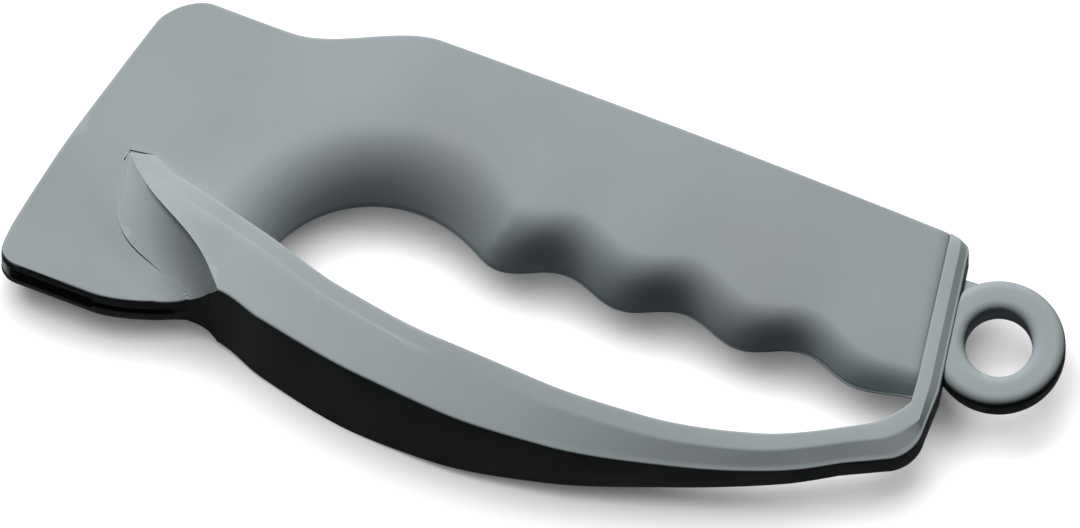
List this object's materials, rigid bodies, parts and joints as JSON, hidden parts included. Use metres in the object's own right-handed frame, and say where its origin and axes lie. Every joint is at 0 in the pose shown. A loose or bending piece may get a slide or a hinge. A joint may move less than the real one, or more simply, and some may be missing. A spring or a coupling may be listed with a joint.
{
  "type": "pocket knife sharpener",
  "caption": "Hand-held pull-through knife sharpener: a slotted flat head with crossed cutters, a wavy grip, a wide bowed hand guard and a lanyard eye.",
  "frame": {"origin": "under the middle of the object's bounding box, on the plane that its widest edge of the guard touches", "axes": "+X from the head along the grip to the lanyard eye, +Y from the guard to the grip's back, +Z out of the near side; the plane of symmetry is level"},
  "size_m": [0.1402, 0.0518, 0.0268],
  "materials": {
    "grey_plastic": "fine satin moulded texture, cool grey",
    "black_plastic": "plain moulded black",
    "hard_metal": "ground hard metal",
    "steel": "plain bright steel"
  },
  "bodies": {
    "root": {"near_shell": "grey_plastic", "far_shell": "grey_plastic", "guard": "grey_plastic", "cutter_carrier": "black_plastic", "front_cutter": "hard_metal", "rear_cutter": "hard_metal", "cutter_keeper": "steel", "front_keeper_screw": "steel", "rear_keeper_screw": "steel", "guard_pin": "steel", "head_screw": "steel", "neck_screw": "steel", "grip_screw": "steel", "tail_screw": "steel"}
  },
  "joints": []
}
